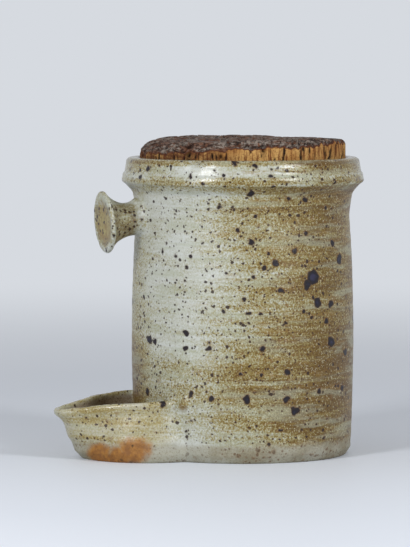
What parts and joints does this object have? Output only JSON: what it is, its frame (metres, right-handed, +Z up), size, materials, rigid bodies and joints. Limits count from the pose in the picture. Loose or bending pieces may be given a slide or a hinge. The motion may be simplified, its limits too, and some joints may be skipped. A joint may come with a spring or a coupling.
{
  "type": "stoneware gherkin jar",
  "caption": "Thrown stoneware gherkin jar with a collared mouth, a mushroom knob, a drip dish with a pouring lip at its foot, and a thick cork lid seated in the mouth.",
  "frame": {"origin": "centre of the jar's foot, on the surface it stands on", "axes": "+Z up along the jar's axis; the knob and the drip dish point along -X; the jar is mirror-symmetric about the XZ plane"},
  "size_m": [0.1898, 0.145, 0.1906],
  "materials": {
    "stoneware": "glossy speckled ash-grey and ochre glaze over iron-bearing stoneware, bare clay at the foot",
    "cork": "natural cork, sawn edge and rough dark bark on top"
  },
  "bodies": {
    "root": {"pot": "stoneware", "cork_lid": "cork"}
  },
  "joints": []
}
